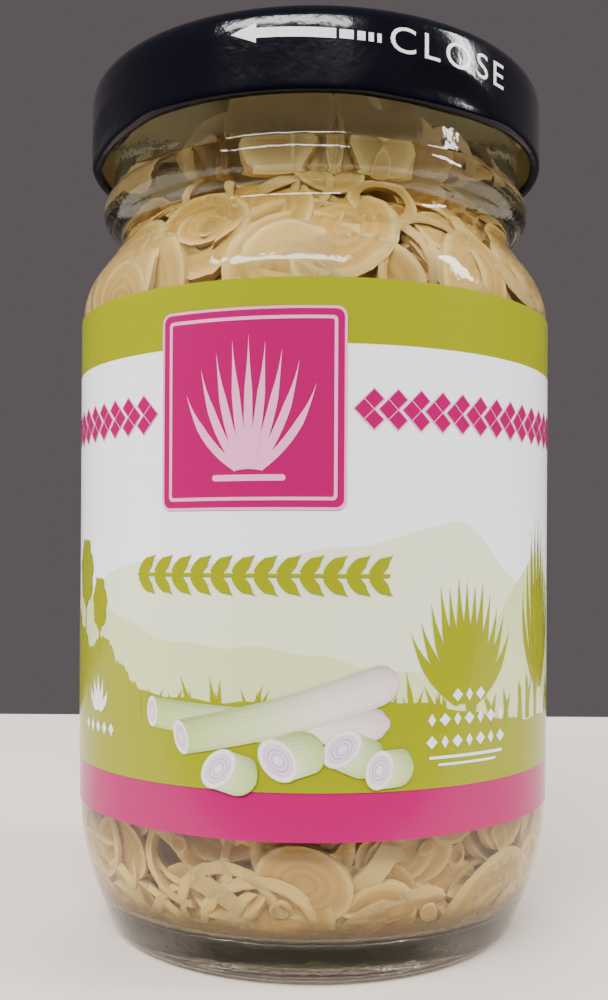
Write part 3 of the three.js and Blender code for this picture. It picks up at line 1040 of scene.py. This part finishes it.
def pictured_face(name, centre, wide, tall, turn, made, layer):
    """The cut across a stalk: an ellipse that knows how far each point is from its middle."""
    bpy.ops.object.select_all(action="DESELECT")
    bpy.ops.mesh.primitive_circle_add(vertices=40, radius=1, fill_type="TRIFAN", location=(0, 0, 0))
    face = started(name)
    ring = stored(face, "ring")
    for v, value in zip(face.data.vertices, ring.data):
        value.value = v.co.length
    face.data.transform(
        Matrix.Translation((centre[0] * MM, centre[1] * MM, 0))
        @ Matrix.Rotation(turn, 4, "Z")
        @ Matrix.Diagonal((wide * MM, tall * MM, 1, 1)))
    lay_print(face, made, layer, step=0.8)


stem = stem_ink("pictured stem", STEM_STOPS)
section = stem_ink("pictured section", SECTION_STOPS)
cut_face = ink("pictured cut face", (0.97, 0.97, 0.97), None, "ring", RING_STOPS)[0]
pictured_stem("stem_low", (8.6, 30.6), (-19.6, 31.2), 4.0, stem, 7)
pictured_stem("stem_high", (9.6, 35.6), (-15.4, 28.6), 4.5, stem, 8)
pictured_face("stem_low_end", (-19.6, 31.2), 0.8, 1.76, 0.03, cut_face, 7.5)
pictured_face("stem_high_end", (-15.4, 28.6), 0.95, 1.98, 0.27, cut_face, 8.5)
for n, (x, y, width, length, turn, slant, layer) in enumerate((
        (3.2, 27.9, 4.6, 4.8, 156, 24, 9), (-3.8, 26.6, 5.0, 5.2, 198, -22, 10),
        (7.4, 25.5, 4.2, 4.0, 184, 20, 11), (-10.6, 25.4, 4.6, 4.6, 166, 26, 12))):
    angle, slant = math.radians(turn), math.radians(slant)
    back = (x - length * math.cos(angle), y - length * math.sin(angle))
    pictured_stem(f"section_{n}", back, (x, y), width, section, layer, 0.42, 0.0, 0.0, slant)
    pictured_face(f"section_{n}_face", (x, y), width * 0.38, width * 0.5 / math.cos(slant),
                  angle - slant, cut_face, layer + 0.5)


# The lid is one disc of tinplate, pressed and curled, lacquered glossy black outside. Four spots of
# its curled edge are pressed in as lugs, which leaves a lens-shaped dent in the skirt over each.

LID_RADIUS = 30.4
LID_BOTTOM = 100.6
LID_TOP = 110.9
SHEET = 0.3
CURL = 0.65
SHOULDER = 2.2
LUG_REACH = 27.95
LUG_HALF = 7.0
DENT_HALF = 23.0
DENT_TALL = 4.6
DENT_DEEP = 0.7
BARREL_FROM = 107.3
BARREL_TO = 109.2
BARREL_IN = 0.15


def skirt_reach(height):
    """The skirt's outer radius at a height: straight below, drawn in a little under the top."""
    share = max(0.0, (height - BARREL_FROM) / (BARREL_TO - BARREL_FROM))
    return LID_RADIUS - BARREL_IN * share ** 2


lid_outside = (
    [(0, 109.55), (5, 109.62)]
    + sweep((5, 109.62), (8.6, 109.7), (9.4, 109.85), 4)
    + sweep((9.4, 109.85), (10.3, 110.2), (11.4, 110.2), 5)
    + [(16, 110.2), (21.8, 110.2)]
    + sweep((21.8, 110.2), (22.9, 110.2), (23.3, 110.55), 4)
    + sweep((23.3, 110.55), (23.7, LID_TOP), (24.6, LID_TOP), 4)
    + [(26.5, LID_TOP)]
    + sweep((28.0, LID_TOP), (29.75, LID_TOP), (skirt_reach(BARREL_TO), BARREL_TO), 12)
    + [(skirt_reach(z), z) for _, z in level(LID_RADIUS, BARREL_TO, BARREL_FROM, 0.2)]
    + level(LID_RADIUS, BARREL_FROM, LID_BOTTOM + CURL, 0.4)
    + arc((LID_RADIUS - CURL, LID_BOTTOM + CURL), CURL, 0, -240, 20)
)
lid_inside = (
    level(LID_RADIUS - SHEET, LID_BOTTOM + 1.95 * CURL, LID_TOP - SHOULDER, 0.8)
    + arc((LID_RADIUS - SHOULDER, LID_TOP - SHOULDER), SHOULDER - SHEET, 0, 90, 8)
    + [(24.6, LID_TOP - SHEET), (23.4, 109.9), (11.4, 109.9), (9.4, 109.55), (0, 109.25)]
)
lid = turned("twist_off_lid", lid_outside + lid_inside)
for v in lid.data.vertices:
    radius, azimuth, height = polar(v)
    off = (azimuth - FIRST_LUG + 180 / STARTS) % (360 / STARTS) - 180 / STARTS
    moved = radius
    side = 1 - (off / DENT_HALF) ** 2
    dent_top = LID_BOTTOM + DENT_TALL * side
    if side > 0 and height < dent_top and radius > LUG_REACH:
        moved -= DENT_DEEP * side * min(1.0, (dent_top - height) / 2.6)
    curl_middle = LID_RADIUS - CURL
    if abs(off) < LUG_HALF and radius < curl_middle and height < LID_BOTTOM + 2 * CURL:
        pressed = min(1.0, (LUG_HALF - abs(off)) / 2)
        moved -= pressed * (curl_middle - CURL - LUG_REACH - DENT_DEEP) * (curl_middle - radius) / CURL
    if radius:
        draw_out(v, moved / radius)
smooth(lid, 50)

lacquer, nodes, shader = material("black lid lacquer")
set_inputs(shader, Base_Color=(0.0008, 0.0011, 0.0038, 1), Specular_IOR_Level=0.10, Coat_Roughness=0.12)
spot = spot_on(nodes)
worn = ranged(nodes, one_axis(nodes, "Z"), (LID_BOTTOM + 0.2) * MM, (LID_BOTTOM + 1.2) * MM, 0.1)
feed(shader.inputs["Coat Weight"], worn)
feed(shader.inputs["Roughness"], ranged(nodes, noise(nodes, spot, 130, 6), 0.45, 0.75, 0.16, 0.36))
skin = bumped(nodes, noise(nodes, spot, 1100, 3), 0.3, 0.00012)
feed(shader.inputs["Normal"], skin)
feed(shader.inputs["Coat Normal"], skin)
finish_with(lid, lacquer, "lid")
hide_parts("lid_shell")

# Inside, the tinplate has a clear gold lacquer against the brine. It is baked on like the black
# one, and shows as a warm shade under the lid's edge.
gold, nodes, shader = material("gold lacquer inside the lid")
feed(shader.inputs["Base Color"], ramp(nodes, noise(nodes, spot_on(nodes), 180), (
    (0.0, (0.38, 0.35, 0.23)), (1.0, (0.48, 0.45, 0.32)))))
set_inputs(shader, Roughness=0.4)
lid.data.materials.append(gold)
for face in lid.data.polygons:
    above_curl = face.center.z > (LID_BOTTOM + 2 * CURL) * MM
    faces_in = outward(face) < -0.3 * face.center.to_2d().length and face.normal.z < 0.3
    if above_curl and (face.normal.z < -0.5 or faces_in):
        face.material_index = 1

# White print on the skirt tells which way the lid closes: an arrow with a broken tail and a word.
# It is an ink on the lacquer and turns with the lid.
PRINT_HEIGHT = 107.4
ARROW_HEIGHT = 107.0


def on_skirt(degrees):
    """How far across the skirt's print lies, in millimetres, at an angle from the front."""
    return math.radians(degrees) * LID_RADIUS


arrow = [(on_skirt(azimuth), ARROW_HEIGHT + up) for azimuth, up in (
    (-18.4, 0), (-12.8, -1.1), (-12.8, -0.55), (4.1, -0.55), (4.1, 0.55), (-12.8, 0.55), (-12.8, 1.1))]
dashes = [
    [(on_skirt(azimuth), ARROW_HEIGHT + up) for azimuth, up in (
        (start, -0.5), (end, -0.5), (end, 0.5), (start, 0.5))]
    for start, end in ((4.8, 7.8), (8.6, 10.3), (11.0, 12.1), (12.9, 13.8))
]


def lay_on_lid(piece):
    """Roll a print round the lid and press it onto the skirt's slight barrel."""
    lay_print(piece, white_ink, 1, radius=LID_RADIUS, step=1.0)
    pick(piece)
    bpy.ops.object.mode_set(mode="EDIT")
    for _, height in level(LID_RADIUS, BARREL_FROM, BARREL_TO, 0.35):
        bpy.ops.mesh.select_all(action="SELECT")
        bpy.ops.mesh.bisect(plane_co=(0, 0, height * MM), plane_no=(0, 0, 1))
    bpy.ops.object.mode_set(mode="OBJECT")
    for v in piece.data.vertices:
        draw_out(v, (skirt_reach(v.co.z / MM) + 0.03) * MM / math.hypot(v.co.x, v.co.y))
    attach(piece, "lid")


PRINT_SLOPE = -0.035
askew = Matrix.Identity(4)
askew[1][0] = PRINT_SLOPE
arrow_print = drawn("lid_arrow", [arrow] + dashes)
arrow_print.data.transform(askew)
lay_on_lid(arrow_print)
bpy.ops.object.select_all(action="DESELECT")
bpy.ops.object.text_add(location=(0, 0, 0))
word = started("lid_word")
word.data.body = "CLOSE"
word.data.size = 4.2 * MM
word.data.space_character = 1.22
word.data.resolution_u = 4
bpy.ops.object.convert(target="MESH")
low, high = ends_across(word)
stretch = (on_skirt(47.4) - on_skirt(15.8)) * MM / (high - low)
word.data.transform(
    askew @ Matrix.Translation((on_skirt(15.8) * MM, (PRINT_HEIGHT - 1.55) * MM, 0))
    @ Matrix.Diagonal((stretch, 1, 1, 1))
    @ Matrix.Translation((-low, 0, 0)))
lay_on_lid(word)


# The sealing ring is a soft plastisol, flowed into the lid's channel and baked there. It sits on
# the rim of the glass.
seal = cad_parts["lid_gasket"]
compound, nodes, shader = material("sealing compound")
feed(shader.inputs["Base Color"], ramp(nodes, noise(nodes, spot_on(nodes), 300), (
    (0.0, (0.62, 0.60, 0.54)), (1.0, (0.74, 0.72, 0.66)))))
set_inputs(shader, Roughness=0.6)
seal.data.materials.clear()
seal.data.materials.append(compound)


# The stage is a plain pale floor that ends shortly before and behind the jar, soft lights, and the
# camera close to the jar, a little below the middle of its height.

FLOOR_WIDTH = 1.6
FLOOR_BEHIND = 0.19
FLOOR_BEFORE = -0.085
bpy.ops.object.select_all(action="DESELECT")
bpy.ops.mesh.primitive_plane_add(size=1, location=(0, 0, 0))
floor = started("floor")
floor.data.transform(
    Matrix.Translation((0, (FLOOR_BEHIND + FLOOR_BEFORE) / 2, 0))
    @ Matrix.Diagonal((FLOOR_WIDTH, FLOOR_BEHIND - FLOOR_BEFORE, 1, 1)))
table, nodes, shader = material("pale floor")
set_inputs(shader, Base_Color=(0.69, 0.60, 0.535, 1), Roughness=0.6)
floor.data.materials.append(table)


def soft_light(name, place, aim, size, power, glossy=True):
    """A rectangular soft light at a place, turned to face a point."""
    lamp = bpy.data.lights.new(name, "AREA")
    lamp.shape = "RECTANGLE"
    lamp.size, lamp.size_y = size
    lamp.energy = power
    holder = added(name, lamp)
    holder.location = place
    holder.rotation_euler = (Vector(aim) - Vector(place)).to_track_quat("-Z", "Y").to_euler()
    holder.visible_glossy = glossy


def from_jar(azimuth, elevation, distance):
    """A place at an azimuth to the right of the front and an elevation over the jar's middle."""
    a, e = math.radians(azimuth), math.radians(elevation)
    return (distance * math.sin(a) * math.cos(e), -distance * math.cos(a) * math.cos(e),
            0.06 + distance * math.sin(e))


JAR_MIDDLE = (0, 0, 0.06)
soft_light("key", from_jar(-20, 50, 1.0), JAR_MIDDLE, (0.8, 0.5), 14.5, glossy=False)
soft_light("fill_right", from_jar(75, 30, 0.9), JAR_MIDDLE, (0.6, 0.5), 7.4, glossy=False)
soft_light("fill_left", from_jar(-80, 30, 0.9), JAR_MIDDLE, (0.6, 0.5), 7.2, glossy=False)
soft_light("fill_back", from_jar(180, 50, 0.9), JAR_MIDDLE, (0.6, 0.4), 6.5, glossy=False)
soft_light("tube_front", from_jar(-14.5, 40, 0.95), JAR_MIDDLE, (0.88, 0.12), 7.4)
soft_light("tube_right", from_jar(77, 34, 0.85), JAR_MIDDLE, (0.10, 0.36), 3.2)

world = bpy.data.worlds.new("room")
bpy.context.scene.world = world
world.use_nodes = True
set_inputs(world.node_tree.nodes["Background"], Color=(0.115, 0.10, 0.105, 1), Strength=1.0)

FRAME_WIDTH = 608.0
FRAME_HEIGHT = 1000.0
FOCAL_PIXELS = 1078.0
AXIS_ACROSS = 313.7
HORIZON_DOWN = 562.0
CAMERA_AWAY = 149.6
CAMERA_UP = 48.4
CAMERA_ROLL = 0.3
view = bpy.data.cameras.new("photo_view")
view.sensor_width = 36.0
view.lens = FOCAL_PIXELS * view.sensor_width / FRAME_HEIGHT
view.shift_x = -(AXIS_ACROSS - FRAME_WIDTH / 2) / FRAME_HEIGHT
view.shift_y = (HORIZON_DOWN - FRAME_HEIGHT / 2) / FRAME_HEIGHT
view.clip_start = 0.01
camera = added("photo_view", view)
camera.location = (0, -CAMERA_AWAY * MM, CAMERA_UP * MM)
camera.rotation_euler = (math.radians(90), 0, 0)
camera.rotation_euler.rotate_axis("Z", math.radians(CAMERA_ROLL))
bpy.context.scene.camera = camera
